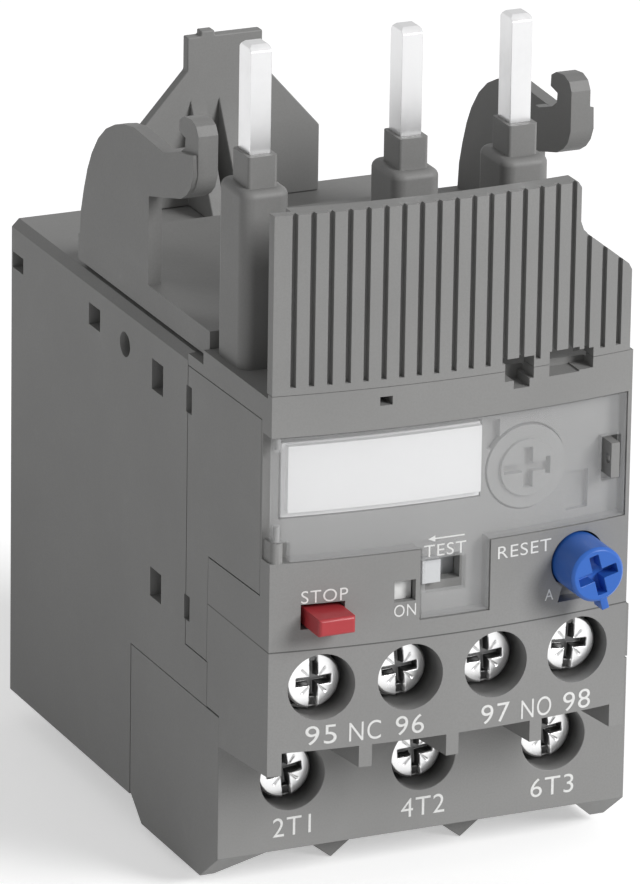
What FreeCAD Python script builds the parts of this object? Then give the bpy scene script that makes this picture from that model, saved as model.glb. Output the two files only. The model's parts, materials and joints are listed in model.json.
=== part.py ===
import FreeCAD, Part
import math
import os

# Thermal overload relay, 45 mm frame, plug-in type that hangs under a contactor.
# X runs to the right seen from the front, Y runs to the back, Z is up. Sizes in mm.
# The origin is under the middle of the outline, on the level of the lowest wire guide tips.

# ---- across ----
width = 45.0
front_radius = 118.0         # bow of the front about an upright axis
right_step = 6.2             # the bowed block ends this far short of the right side
half = width / 2
block_left = -half
block_right = half - right_step
x_crown = (block_left + block_right) / 2
reset_x = block_right - 5.9
dial_x = block_right - 11.15
lug_x = block_right - 2.2
stop_x = block_left + 5.6
flag_x = x_crown - 5.6       # middle of the trip window
test_x = x_crown - 3.3       # left edge of the test slider
tongue_x0 = x_crown - 3.8
tongue_x1 = x_crown + 3.5
label_x0 = block_left + 2.2
dial_r = 4.3
label_x1 = dial_x - dial_r - 0.95
hinge_x = block_left + 0.85

# ---- depth ----
depth_body = 55.0            # terminal face to back face
depth_block = 13.4           # crown of the bowed front ahead of the terminal face
knob_out = 4.7               # reset knob ahead of the panel
depth_foot = 22.3            # terminal housing
depth_seam = 8.6             # joint between front and rear housings
knob_dip = front_radius - math.sqrt(front_radius ** 2 - (reset_x - x_crown) ** 2)
depth_total = depth_body + depth_block - knob_dip + knob_out
y_back = depth_total / 2
y_plate = y_back - depth_body
y_crown = y_plate - depth_block
y_seam = y_plate + depth_seam
y_step = y_plate + 3.1
y_foot = y_plate + depth_foot

# ---- levels ----
z_tip = 0.0                  # tips of the wire guides between the main terminals
z_foot = z_tip + 1.0
z_rear_bottom = z_tip + 3.2
z_plate_bottom = z_tip + 4.3
z_split = z_plate_bottom + 15.3      # top of the terminal housing
z_lip = z_split + 0.3                # lower lip of the bowed front
z_room = z_split + 4.7               # step of the rear housing
z_seam = z_lip + 10.6                # between contact block and control panel
z_tongue = z_seam + 2.0              # lower end of the window's tongue
z_cover_low = z_seam + 9.3
cover_height = 12.8
z_cover_top = z_cover_low + cover_height
z_top = z_cover_top + 2.4            # top of the rear housing
z_ledge = z_top + 1.5                # ledge behind the ribbed shield
z_shield = z_ledge + 0.45
shield_height = 18.35
z_shield_top = z_shield + shield_height
z_deck = z_top + 3.3
hook_height = 19.9
boot_height = 18.2
z_boot_top = z_ledge + boot_height
z_sleeve_top = z_boot_top + 3.2
pin_reach = 11.0
z_pin_top = z_sleeve_top + pin_reach

wall = 1.8
skin = 3.4                   # bowed front wall
gap = 0.1                    # general joint gap between mouldings
run_fit = 0.06               # radial clearance of turning fits
window_thick = 0.9
window_deep = 2.0            # recess floor behind the window

# ---- terminals ----
phase_pitch = half - 8.1
phase_x = [-phase_pitch, 0.0, phase_pitch]
main_z = z_plate_bottom + 7.7
main_hole_r = 3.5
main_head_r = 2.95
main_shank_r = 2.0
main_travel = 3.5
bay_half = 4.5
bay_z = z_split - 3.0
aux_pitch = (block_right - block_left - 11.05) / 3
aux_x = [block_left + 5.4 + i * aux_pitch for i in range(4)]
aux_names = ["95", "96", "97", "98"]
aux_half = aux_pitch / 2 - 0.675
aux_z = z_lip + 6.6
aux_roof = z_seam - 0.8
aux_hole_r = aux_half - 0.5
aux_head_r = aux_hole_r - 0.55
aux_shank_r = 1.75
aux_travel = 2.0
neck_half = 1.6

# ---- contactor side ----
pin_x = [block_left + 3.4, x_crown + 0.1, block_right - 7.5]
pin_w = 2.25
pin_d = 2.8
pin_y0 = y_plate - 0.6
boot_w = 5.1
boot_d = 6.6
boot_y0 = y_plate - 2.6
strap_z = z_top - 7.5        # straps that lead from the pins to the bimetals
strap_thick = 1.4

# ---- mechanism ----
trip_stroke = 2.5
carrier_stroke = 1.4
z_slide = z_split - 1.0
slide_thick = 1.0
z_lever = z_cover_low - 1.3
lever_x = half - 5.0
lever_y = y_plate + 14.5
bimetal_y0 = y_foot + wall + 2.9
bimetal_y1 = bimetal_y0 + 6.0
lever_reach = bimetal_y0 - 2.1 - lever_y
contact_z = z_seam + 4.6
nc_tab_y = y_plate + 5.5
nc_face = nc_tab_y + 1.4
no_tab_y = y_plate + 14.0
bar_y0 = nc_face + 1.4
stop_z = z_seam + 3.35
stop_half_w = 1.95
stop_half_h = 0.9
stop_out = 3.15
reset_z = z_seam + 5.5
knob_r = 2.85
dial_z = z_cover_low + 6.3
hinge_r = 0.65
z_knuckle = z_cover_low + 2.1        # the cover's barrel starts above the housing's knuckle


def box(x0, x1, y0, y1, z0, z1):
    return Part.makeBox(x1 - x0, y1 - y0, z1 - z0, FreeCAD.Vector(x0, y0, z0))


def rod_x(y, z, r, x0, x1):
    return Part.makeCylinder(r, x1 - x0, FreeCAD.Vector(x0, y, z), FreeCAD.Vector(1, 0, 0))


def rod_y(x, z, r, y0, y1):
    return Part.makeCylinder(r, y1 - y0, FreeCAD.Vector(x, y0, z), FreeCAD.Vector(0, 1, 0))


def rod_z(x, y, r, z0, z1):
    return Part.makeCylinder(r, z1 - z0, FreeCAD.Vector(x, y, z0), FreeCAD.Vector(0, 0, 1))


def prism(points, push):
    wire = Part.makePolygon([FreeCAD.Vector(*p) for p in points + points[:1]])
    return Part.Face(wire).extrude(FreeCAD.Vector(*push))


def prism_x(yz, x0, x1):
    return prism([(x0, y, z) for y, z in yz], (x1 - x0, 0, 0))


def prism_y(xz, y0, y1):
    return prism([(x, y0, z) for x, z in xz], (0, y1 - y0, 0))


def fuse(shapes):
    out = shapes[0]
    for shape in shapes[1:]:
        out = out.fuse(shape)
    return out.removeSplitter()


def cut(shape, tools):
    for tool in tools:
        shape = shape.cut(tool)
    return shape.removeSplitter()


def bowed(x0, x1, y_rear, z0, z1, inset=0.0):
    # block whose front follows the bow of the housing, set back by inset
    block = box(x0, x1, y_crown - 1, y_rear, z0, z1)
    drum = rod_z(x_crown, y_crown + front_radius, front_radius - inset, z0, z1)
    return block.common(drum)


def bowed_plate(x0, x1, z0, z1, inset, thick):
    # plate of even thickness that follows the bow
    y_rear = y_crown + 12
    outer = bowed(x0, x1, y_rear, z0, z1, inset)
    return outer.cut(bowed(x0 - 1, x1 + 1, y_rear + 1, z0 - 1, z1 + 1, inset + thick))


def bow_y(x, inset=0.0):
    # depth of the bowed face at x
    reach = front_radius - inset
    return y_crown + front_radius - math.sqrt(reach * reach - (x - x_crown) ** 2)


def bevel_edges(shape, size, pick):
    return shape.makeChamfer(size, [e for e in shape.Edges if pick(e)])


def round_edges(shape, size, pick):
    return shape.makeFillet(size, [e for e in shape.Edges if pick(e)])


def upright(edge):
    span = edge.BoundBox
    return span.ZLength > 1e-3 and span.XLength < 1e-6 and span.YLength < 1e-6


def at_level(edge, z):
    span = edge.BoundBox
    return abs(span.ZMin - z) < 1e-4 and abs(span.ZMax - z) < 1e-4


# ---- rear housing: open-fronted shell with snap windows in its sides ----
def rear_housing():
    outline = [
        (y_back, z_rear_bottom), (y_back, z_top), (y_seam, z_top), (y_seam, z_room),
        (y_step, z_room), (y_step, z_split), (y_foot, z_split), (y_foot, z_rear_bottom)]
    shell = prism_x(outline, -half, half)
    shell = bevel_edges(shell, 0.8, is_back_rim)
    room = half - wall
    tools = [
        box(-room, room, y_seam - 1, y_back - wall, z_room - 1, z_top - wall),
        box(-room, room, y_step + wall, y_back - wall, z_split + wall, z_top - wall),
        box(-room, room, y_foot + wall, y_back - wall, z_rear_bottom + wall, z_top - wall),
        box(-half + 7.5, half - 7.5, y_back - 0.6, y_back + 1, z_rear_bottom + 10.8, z_top - 11)]
    for side in (-1, 1):
        tools += side_windows(side)
    for x in phase_x:
        tools.append(box(x - 3.0, x + 3.0, y_plate + 12.6, y_plate + 15.0, z_split - 1, z_split + wall + 1))
    shell = cut(shell, tools)
    shelf_top = z_slide - gap
    shelves = [
        box(-half + 1, half - 1, y_foot + 1, bimetal_y0 - 0.7, shelf_top - 1.3, shelf_top),
        box(-half + 1, half - 1, bimetal_y1 + 1.0, bimetal_y1 + 3.8, shelf_top - 1.3, shelf_top)]
    post = rod_z(lever_x, lever_y, 1.0, z_lever - 3.5, z_top - 1)
    return fuse([shell] + shelves + [post])


def is_back_rim(edge):
    span = edge.BoundBox
    on_back = span.YMin > y_back - 1e-4
    on_top = at_level(edge, z_top) and abs(abs(span.XMin) - half) < 1e-4 and span.YLength > 1
    return on_back or on_top


def side_windows(side):
    # snap windows: depth back from the terminal face, width, bottom and top levels, depth of cut
    through = wall + 1
    top, low = z_top, z_seam
    rows = [(51.1, 2.8, top - 5.1, top - 3.4, 1.4), (30.8, 2.9, top - 4.9, top - 2.6, through),
            (14.7, 2.8, top - 6.6, top - 3.4, through), (14.7, 2.8, low - 4.1, low - 1.0, through),
            (7.6, 1.3, top - 6.2, top - 3.4, through), (7.6, 1.3, low - 3.5, low - 0.9, through)]
    tools = []
    for back, size, z0, z1, deep in rows:
        x0, x1 = sorted((side * (half - deep), side * (half + 1)))
        tools.append(box(x0, x1, y_plate + back, y_plate + back + size, z0, z1))
    x0, x1 = sorted((side * (half - wall - 1), side * (half + 1)))
    tools.append(rod_x(y_plate + 24.4, z_top - 4.15, 1.3, x0, x1))
    return tools


# ---- terminal housing: three wire bays open below, funnel guides between them ----
def terminal_housing():
    back = y_foot - gap
    side_foot = prism_x([(y_plate, z_plate_bottom), (y_plate + 4.3, z_foot), (y_foot - 3.1, z_foot),
                         (back, z_foot + 2.5), (back, z_plate_bottom + 1), (y_plate, z_plate_bottom + 1)],
                        -half, half)
    parts = [box(-half, half, y_plate, back, z_plate_bottom, z_split - gap)]
    for side in (-1, 1):
        lean = prism_y([(side * half, z_plate_bottom + 0.5), (side * half, z_foot),
                        (side * (half - 1.6), z_foot), (side * (half - 5.3), z_plate_bottom),
                        (side * (half - 5.3), z_plate_bottom + 0.5)], y_plate, y_foot)
        parts.append(side_foot.common(lean))
        x = side * phase_pitch / 2
        parts.append(prism_y([(x - 5.6, z_plate_bottom), (x, z_tip), (x + 5.6, z_plate_bottom)],
                             y_plate + 6.2, y_foot - 3.1))
    tools = []
    for x in phase_x:
        tools.append(box(x - bay_half, x + bay_half, y_plate + 5.5, y_foot - 1.6, z_tip - 1, bay_z))
        tools.append(rod_y(x, main_z, main_hole_r, y_plate - 1, y_plate + 6))
        tools.append(box(x - 3.0, x + 3.0, y_plate + 12.6, y_plate + 15.0, bay_z - 1, z_split + 1))
    return cut(fuse(parts), tools)


# ---- front housing: contact block, control panel and upper strip in one moulding ----
def front_housing():
    belly = prism_x([(y_plate + 0.5, z_lip - 3.5), (y_crown - 1, z_lip - 2.15), (y_crown - 1, z_shield + 1),
                     (y_plate + 0.5, z_shield + 1)], block_left - 1, block_right + 1)
    block = bowed(block_left, block_right, y_plate + 0.5, z_lip - 4, z_shield).common(belly)
    under = box(block_left - 1, block_right + 1, y_plate, y_plate + 1, z_lip - 4, z_split + gap)
    behind_shield = box(block_left - 1, block_right + 1, bow_y(x_crown, 2.6), y_plate + 1, z_ledge, z_shield + 1)
    ledge = box(-half, block_right, y_plate, y_seam - gap, z_room + gap, z_ledge)
    wing = box(block_right - 1, half, y_step, y_seam - gap, z_room + gap, z_ledge)
    low_rear = box(-half, half, y_plate, y_step - gap, z_split + gap, z_room + 1)
    body = fuse([cut(block, [under, behind_shield]), ledge, wing, low_rear])
    tools = room_cuts() + aux_cuts() + panel_cuts() + side_cover_seat() + strip_slots() + peg_seats()
    body = cut(body, tools)
    return fuse([body, seal_lug()] + hinge_pegs())


def room_cuts():
    # mechanism room, open to the back, with a cross wall that guides the plungers
    left, right = block_left + 2.6, half - 1.6
    front_room = bowed(left, block_right - 1.6, y_plate + 1.7, z_seam + 0.8, z_top - 1, skin)
    rear_room = box(left, block_right - 1.6, y_plate + 1.6, y_seam + 1, z_seam + 0.8, z_top - 1)
    wing_room = box(left, right, y_step + 1.6, y_seam + 1, z_seam + 0.8, z_top - 1)
    low_room = box(left - 0.5, right, y_step + 1.6, y_seam + 1, z_room + wall, z_seam + 1)
    cross_wall = box(left - 0.1, block_right - 1.6, y_plate + 1.2, y_plate + 2.4, z_seam + 0.7, z_seam + 10)
    rooms = front_room.fuse(rear_room).fuse(wing_room).fuse(low_room).cut(cross_wall.cut(guide_holes()))
    tools = [rooms, box(block_left - 1, half + 1, y_plate + 4.8, y_seam + 1, z_top, z_ledge + 1)]
    for x in pin_x:
        tools.append(box(x - pin_w / 2 - 0.15, x + pin_w / 2 + 0.15, pin_y0 - 0.2, pin_y0 + pin_d + 0.2,
                         strap_z - 0.2, z_ledge + 1))
    strap_way = box(pin_x[0] - pin_w / 2 - 0.15, left + 1, pin_y0 - 0.2, y_seam + 1, strap_z - 0.3,
                    strap_z + strap_thick + 0.3)
    return tools + [strap_way]


def guide_holes():
    y0, y1 = y_plate, y_plate + 4
    holes = [rod_y(reset_x, reset_z, 1.5 + run_fit, y0, y1)]
    holes.append(box(stop_x + 3.7, stop_x + 5.2, y0, y1, stop_z - 0.9, stop_z + 0.9))
    for x in aux_x:
        holes.append(box(x - neck_half - 0.2, x + neck_half + 0.2, y0, y1, z_seam, z_seam + 2.3))
    return fuse(holes)


def aux_cuts():
    tools = []
    for x in aux_x:
        front = bow_y(x)
        tools.append(rod_y(x, aux_z, aux_hole_r, front - 1, y_plate - 8.4))
        tools.append(box(x - aux_half, x + aux_half, y_plate - 8.7, y_plate + 1.5, z_lip, aux_roof))
        tools.append(bowed(x - aux_half, x + aux_half, y_plate - gap, z_lip - 4.4, z_lip, 1.4))
        tools.append(bowed(x - aux_half, x + aux_half, y_plate - 8.6, z_lip - 4.4, z_lip))
        tools.append(box(x - neck_half - 0.2, x + neck_half + 0.2, y_plate - 4.6, y_plate - 3.2, aux_roof - 0.2,
                         z_seam + 1))
    for x in (aux_x[0] + aux_pitch / 2, aux_x[2] + aux_pitch / 2):
        # the middle partitions of each pair end a little higher
        tools.append(box(x - 1, x + 1, y_crown - 1, y_plate - gap, z_lip - 4.4, z_lip - 2.9))
    return tools


def panel_cuts():
    z0, z1 = z_cover_low - gap, z_cover_top + gap
    panel_rear = y_crown + 5.4
    tools = [
        bowed_plate(block_left - 1, block_right - 0.45, z0, z1, -1, window_deep + 1),
        bowed_plate(tongue_x0 - 0.15, tongue_x1 + 0.15, z_tongue - 0.15, z_cover_low + 1, -1, window_deep + 1),
        rod_z(hinge_x, hinge_y(), hinge_r + 0.3, z0, z1),
        box(stop_x - 2.45, stop_x + 2.05, y_crown - 1, panel_rear, stop_z - 1.15, stop_z + 1.45),
        box(flag_x - 1.05, flag_x + 1.2, y_crown - 1, y_crown + 4.4, z_seam + 4.0, z_seam + 6.2),
        bowed(flag_x - 4.2, flag_x + 1.35, y_crown + 3.9, z_seam + 3.5, z_seam + 6.9, 0.75),
        box(test_x - 0.2, test_x + 4.5, y_crown, panel_rear, z_seam + 5.0, z_seam + 7.7),
        rod_y(reset_x, reset_z, knob_r + 0.2, y_crown - 1, panel_rear),
        knob_wedge(),
        rod_y(dial_x, dial_z, dial_r + 0.2, y_crown, bow_y(dial_x, 2.9)),
        rod_y(dial_x, dial_z, 1.6 + run_fit, y_crown, y_crown + 8.4),
        bowed_plate(label_x0 - 0.6, label_x1 + 0.3, z_cover_low + 3.8, z_cover_low + 11.9, 1.9, 0.75),
        bowed_plate(label_x1 + 0.9, label_x1 + 2.3, z_cover_top - 4.2, z_cover_top - 1.2, 1.9, 0.8),
        bowed_plate(dial_x + 4.75, dial_x + 7.25, z_cover_low + 0.8, z_cover_low + 4.8, 1.9, 0.7)]
    return tools


def knob_wedge():
    # sloped hollow under the knob's pointer
    x, z = reset_x, reset_z
    outline = [(x - 2.2, z - 4.1), (x - 1.7, z - 2.4), (x, z - 1.6), (x + 3.2, z - 1.6), (x + 3.2, z - 4.1)]
    return prism_y(outline, y_crown - 1, bow_y(reset_x, 1.6))


def side_cover_outline(out):
    y0 = y_plate - 9.5 - out
    return [(y0, z_seam + 5.2 - out), (y_plate + 3.0 - out, z_seam + 4.9 - out),
            (y_plate + 3.2 - out, z_room - out), (y_seam + out, z_room - out),
            (y_seam + out, z_top - 1.2 + out), (y0, z_top - 1.0 + out)]


def cover_notches(x1, deep):
    y0 = y_seam - deep
    return [box(block_left - 1, x1, y0, y_seam + 1, z_top - 6.2, z_top - 3.4),
            box(block_left - 1, x1, y0, y_seam + 1, z_seam - 3.5, z_seam - 0.9)]


def side_cover_seat():
    seat = prism_x(side_cover_outline(0.0), block_left - 1, block_left + 1.5)
    return [seat] + cover_notches(block_left + 3, 1.1)


def side_cover():
    plate = prism_x(side_cover_outline(-gap), block_left, block_left + 1.45)
    return cut(plate, cover_notches(0, 1.0))


def strip_slots():
    # key slots across the shield seam and a small one in the strip
    y0, y1 = y_crown - 1, y_crown + 3.2
    x, z = x_crown, z_shield
    return [box(x + 4.75, x + 7.95, y0, y1, z - 1.05, z + 1.25), box(x + 5.75, x + 7.5, y0, y1, z - 1.9, z - 1.0),
            box(x + 9.7, x + 13.1, y0, y1, z - 1.2, z + 1.35), box(x + 13.1, x + 14.7, y0, y1, z - 1.05, z + 1.05),
            box(x - 8.5, x - 7.2, y0, y1, z - 1.85, z - 0.95)]


# ---- ribbed shield ----
def rib_shield():
    left, right, low, top = block_left, block_right - 0.4, z_shield + gap / 2, z_shield_top
    step = right - 6.1
    outline = [(left, low), (left, top), (step - 0.4, top), (step, top - 0.6), (step, top - 4.1),
               (step + 0.35, top - 5.0), (step + 1.1, top - 5.7), (right - 0.4, top - 9.3),
               (right, top - 10.0), (right, low)]
    slab = bowed_plate(left, right, z_shield, top, 0.0, 2.4)
    body = fuse([slab.common(prism_y(outline, y_crown - 1, y_crown + 14))] + shield_pegs())
    tools = strip_slots()
    tools.append(bowed(left - 1, left + 2.1, y_crown + 12, z_shield, top + 1, 1.2))
    pitch = (right - left - 3.46) / 19
    for i in range(20):
        x = left + 2.05 + i * pitch
        tools.append(box(x - 0.28, x + 0.28, y_crown - 1, bow_y(x, 0.7), z_shield + 0.8, top + 1))
    return cut(body, tools)


def shield_peg(x, play):
    return bowed_plate(x - play, x + 3.2 + play, z_top + 0.3 - 3 * play, z_shield + 1, 0.9 - play, 1.0 + 2 * play)


def shield_pegs():
    return [shield_peg(x_crown + dx, 0.0) for dx in (-12.7, -2.7, 15.3)]


def peg_seats():
    return [shield_peg(x_crown + dx, 0.1) for dx in (-12.7, -2.7, 15.3)]


# ---- contactor side: hooks, latch tower, boots and pins ----
hook_face = half - 0.7
hook_web = 1.4
hook_beak = 2.6


def hook_outline(points):
    # depth behind the terminal face, height over the deck
    k = hook_height / 19.9
    return [(y_plate + a, z_deck + b * k) for a, b in points]


def hook(side):
    # thin plate with a round back, and a thicker beak that curls up at its front end
    plate = [(38.0, -1.3), (37.6, 2.7), (36.9, 5.1), (36.0, 7.5), (34.9, 9.5), (33.3, 11.5), (31.3, 13.1),
             (29.0, 14.2), (26.7, 14.9), (24.2, 15.3), (20.3, 15.1), (16.6, 14.9), (13.6, 15.9), (9.5, 16.7),
             (9.4, 14.5), (10.0, 13.2), (11.0, 12.2), (12.4, 11.4), (20.3, 9.3), (20.3, -1.3)]
    beak = [(17.5, 14.9), (16.6, 14.9), (13.6, 15.9), (12.6, 16.6), (12.5, 17.6), (14.1, 17.9), (14.0, 19.1),
            (12.9, 19.7), (11.1, 19.9), (9.9, 19.5), (9.3, 18.6), (9.3, 14.5), (9.9, 13.1), (10.9, 12.2),
            (12.4, 11.4), (17.5, 10.04)]
    outer = side * hook_face
    return [prism_x(hook_outline(plate), outer, outer - side * hook_web),
            prism_x(hook_outline(beak), outer - side * 0.5, outer - side * hook_beak)]


def hook_bracket():
    y0 = y_plate + 4.9
    y1 = y_plate + 38.2
    deck = box(-hook_face, hook_face, y0, y1, z_top + 0.55, z_deck)
    base = box(-hook_face + 0.6, hook_face - 0.6, y0 + 0.4, y1 - 0.6, z_top + gap / 2, z_top + 1.0)
    return fuse([deck, base] + hook(-1) + hook(1))


def latch_tower():
    y0 = y_back - 3.7
    low = z_top + gap / 2
    shoulder, neck, top = z_top + 7.2, z_top + 14.6, z_top + 18.2
    outline = [(-10.8, low), (-10.8, shoulder), (-4.2, neck), (-4.2, top), (-2.7, top), (-2.7, top + 0.55),
               (-1.2, top + 0.55), (-1.2, top), (4.2, top), (4.2, neck), (10.8, shoulder), (10.8, low)]
    plate = prism_y(outline, y0, y0 + 1.3)
    rib = [(y0 + 0.5, z_top + 12.4), (y0 - 6.5, low), (y0 + 0.5, low)]
    return fuse([plate, prism_x(rib, -3.9, -2.3), prism_x(rib, -0.7, 0.9)])


def pin_carrier():
    y1 = boot_y0 + boot_d
    parts = [box(pin_x[0] - 2.0, pin_x[2] + 2.0, boot_y0 + 0.3, y1 - 0.3, z_ledge, z_ledge + 1.6)]
    bores = []
    tight = 0.02
    for x in pin_x:
        boot = box(x - boot_w / 2, x + boot_w / 2, boot_y0, y1, z_ledge, z_boot_top)
        boot = round_edges(boot, 1.3, upright)
        boot = round_edges(boot, 0.8, lambda e: at_level(e, z_boot_top))
        sleeve = box(x - 1.6, x + 1.5, boot_y0 + 1.1, boot_y0 + 5.1, z_boot_top - 1, z_sleeve_top)
        parts += [boot, round_edges(sleeve, 0.35, upright)]
        bores.append(box(x - pin_w / 2 - tight, x + pin_w / 2 + tight, pin_y0 - tight, pin_y0 + pin_d + tight,
                         z_ledge - 1, z_pin_top))
    return cut(fuse(parts), bores)


def plug_pin(i):
    x = pin_x[i]
    target = phase_x[i]
    z0, z1 = strap_z, strap_z + strap_thick
    bar = box(x - pin_w / 2, x + pin_w / 2, pin_y0, pin_y0 + pin_d, z0, z_pin_top)
    bar = bevel_edges(bar, 0.65, lambda e: at_level(e, z_pin_top) and e.BoundBox.XLength > 1)
    bar = bevel_edges(bar, 0.3, lambda e: at_level(e, z_pin_top) and e.BoundBox.YLength > 1)
    strap_a = box(x - pin_w / 2, x + 1.6, pin_y0, y_plate + 20.0, z0, z1)
    low, high = min(x - pin_w / 2, target - 2.0), max(x + 1.6, target + 2.0)
    strap_b = box(low, high, y_plate + 17.2, y_plate + 20.0, z0, z1)
    lug = box(target - 2.0, target + 2.0, y_plate + 19.0, bimetal_y1 + 0.5, z0, z1)
    return fuse([bar, strap_a, strap_b, lug])


# ---- sensing: bimetals with heater windings, slides, lever ----
def bimetal(i):
    x = phase_x[i]
    return box(x - 0.45, x + 0.45, bimetal_y0, bimetal_y1, z_slide + 0.2, strap_z)


def heater(i):
    x = phase_x[i]
    y0, y1 = bimetal_y0 - 1.2, bimetal_y1 + 1.2
    z0, z1 = z_slide + 7.4, strap_z - 2.1
    parts = [box(x - 1.9, x + 1.9, y0 + 0.3, y1 - 0.3, z0, z1)]
    turns = 8
    pitch = (z1 - z0) / turns
    for k in range(turns):
        z = z0 + (k + 0.15) * pitch
        parts.append(box(x - 2.2, x + 2.2, y0, y1, z, z + 0.7 * pitch))
    parts.append(box(x + 1.0, x + 2.2, bimetal_y0 + 1, bimetal_y0 + 4, z1 - 0.4, strap_z))
    parts.append(box(x + 1.0, x + 2.2, y0, y0 + 2.4, z_split + 4.4, z0 + 0.4))
    hole = box(x - 0.9, x + 0.9, bimetal_y0 - 0.45, bimetal_y1 + 0.45, z0 - 1, z1 + 1)
    return cut(fuse(parts), [hole])


def main_rail(i):
    x = phase_x[i]
    y0 = y_plate + 13.0
    top = z_split + 4.4
    tongue = box(x - 2.7, x + 2.7, y0, y0 + 1.4, main_z - 4.5, top)
    strap = box(x + 0.6, x + 2.3, y0, bimetal_y0 + 1.2, top - 1.4, top)
    return fuse([tongue, strap])


def trip_slide(level):
    z0 = z_slide + level * (slide_thick + 0.4)
    z1 = z0 + slide_thick
    plate = box(-half + 4.0, lever_x - 0.9, bimetal_y0 - 1.5, bimetal_y1 + 1.5, z0, z1)
    slots = [box(x - 0.75 - trip_stroke, x + 0.7, bimetal_y0 - 0.3, bimetal_y1 + 0.3, z0 - 1, z1 + 1)
             for x in phase_x]
    return cut(plate, slots)


def trip_lever():
    z0, z1 = z_lever, z_lever + 2.0
    hub = rod_z(lever_x, lever_y, 1.9, z0 - 1, z1 + 1)
    rear = box(lever_x - 0.9, lever_x + 0.9, lever_y, lever_y + lever_reach, z0, z1)
    side = box(lever_x - 6.9, lever_x, lever_y - 0.5, lever_y + 0.5, z0, z1)
    bore = rod_z(lever_x, lever_y, 1.0 + run_fit, z0 - 2, z1 + 2)
    return cut(fuse([hub, rear, side]), [bore])


def compensator():
    y0 = lever_y + lever_reach
    return box(lever_x - 0.6, lever_x, y0, y0 + 3.8, z_slide, z_lever + 2.0)


# ---- contacts ----
def aux_rail(i):
    x = aux_x[i]
    closed = i < 2
    y0 = y_plate - 4.4
    y_tab = nc_tab_y if closed else no_tab_y
    z0, z1 = z_seam + 1.0, z_seam + 1.8
    plate_half = aux_half - 1.35
    plate = box(x - plate_half, x + plate_half, y0, y0 + 1.0, aux_z - 3.1, aux_roof - 0.2)
    neck = box(x - neck_half, x + neck_half, y0, y0 + 1.0, aux_roof - 0.7, z1)
    strap = box(x - neck_half, x + neck_half, y0, y_tab + 0.8, z0, z1)
    tab = box(x - neck_half, x + neck_half, y_tab, y_tab + 0.8, z0, contact_z + 1.4)
    side = 1 if closed else -1
    r0, r1 = sorted((y_tab + 0.4, y_tab + 0.4 + side * 1.0))
    return fuse([plate, neck, strap, tab, rod_y(x, contact_z, 1.1, r0, r1)])


def contact_carrier():
    x0, x1 = aux_x[0] - 1.5, aux_x[3] + 1.95
    z0, z1 = contact_z - 1.5, z_lever - 0.3
    bar = box(x0, x1, bar_y0, bar_y0 + 1.6, z0, z1)
    arm = box(x1 - 1.7, x1, bar_y0, lever_y + 2.3, z1 - 1.4, z1)
    prong = box(x1 - 1.7, x1, lever_y + 0.7, lever_y + 2.3, z1 - 0.2, z_lever + 2.2)
    return fuse([bar, arm, prong])


def bridge(x0, x1, closed):
    # moving contact bar with a silver rivet at each end
    y0 = bar_y0 - 0.65 if closed else bar_y0 + 1.65
    tip = (nc_face + 0.1, y0 + 0.3) if closed else (y0 + 0.3, no_tab_y - 0.7 - carrier_stroke)
    bar = box(x0 - 1.5, x1 + 1.5, y0, y0 + 0.6, contact_z - 1.0, contact_z + 1.0)
    return fuse([bar] + [rod_y(x, contact_z, 1.1, tip[0], tip[1]) for x in (x0, x1)])


def trip_flag():
    face = bowed_plate(flag_x - 1.2, flag_x + 1.2, z_seam + 3.9, z_seam + 6.5, 1.1, 0.9)
    stem = box(flag_x - 0.7, flag_x + 0.1, bow_y(flag_x, 1.6), y_crown + 5.8, z_seam + 5.7, z_seam + 6.5)
    return fuse([face, stem])


# ---- controls ----
def stop_button():
    front = bow_y(stop_x) - stop_out
    cap = box(stop_x - stop_half_w, stop_x + stop_half_w, front, y_crown + 5.2, stop_z - stop_half_h,
              stop_z + stop_half_h)
    cap = round_edges(cap, 0.4, lambda e: abs(e.BoundBox.YMax - front) < 1e-4)
    flange = box(stop_x - 2.7, stop_x + 5.15, y_crown + 5.0, y_crown + 6.2, stop_z - 1.75, stop_z + 1.5)
    stud = rod_y(stop_x, stop_z, 0.75, y_crown + 6.1, y_crown + 8.9)
    finger = box(stop_x + 3.8, stop_x + 5.1, y_crown + 6.1, y_plate + 4.6, stop_z - 0.75, stop_z + 0.75)
    return fuse([cap, flange, stud, finger])


def coil(x, z, y0, y1, radius, turns, wire):
    # compression spring along Y, wound from six-sided wire in short straight runs
    steps = turns * 12
    rise = (y1 - y0 - 2 * wire) / steps
    path = []
    for i in range(steps + 1):
        angle = math.pi * i / 6
        path.append(FreeCAD.Vector(x + radius * math.cos(angle), y0 + wire + i * rise,
                                   z + radius * math.sin(angle)))
    run = (path[1] - path[0]).normalize()
    out = FreeCAD.Vector(1, 0, 0)
    out = (out - run * out.dot(run)).normalize()
    up = run.cross(out)
    ring = []
    for k in range(6):
        angle = math.pi * k / 3
        ring.append(path[0] + out * (wire * math.cos(angle)) + up * (wire * math.sin(angle)))
    section = Part.makePolygon(ring + ring[:1])
    return Part.Wire(Part.makePolygon(path)).makePipeShell([section], True, False, 1)


def stop_spring():
    return coil(stop_x, stop_z, y_crown + 6.3, y_plate + 1.1, 1.0, 5, 0.18)


def reset_spring():
    return coil(reset_x, reset_z, y_crown + 6.1, y_plate + 1.1, 2.1, 4, 0.25)


def reset_plunger():
    shaft = rod_y(reset_x, reset_z, 1.5, y_crown, y_plate + 5.9)
    flange = rod_y(reset_x, reset_z, 3.2, y_crown + 5.2, y_crown + 6.0)
    return fuse([shaft, flange])


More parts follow.
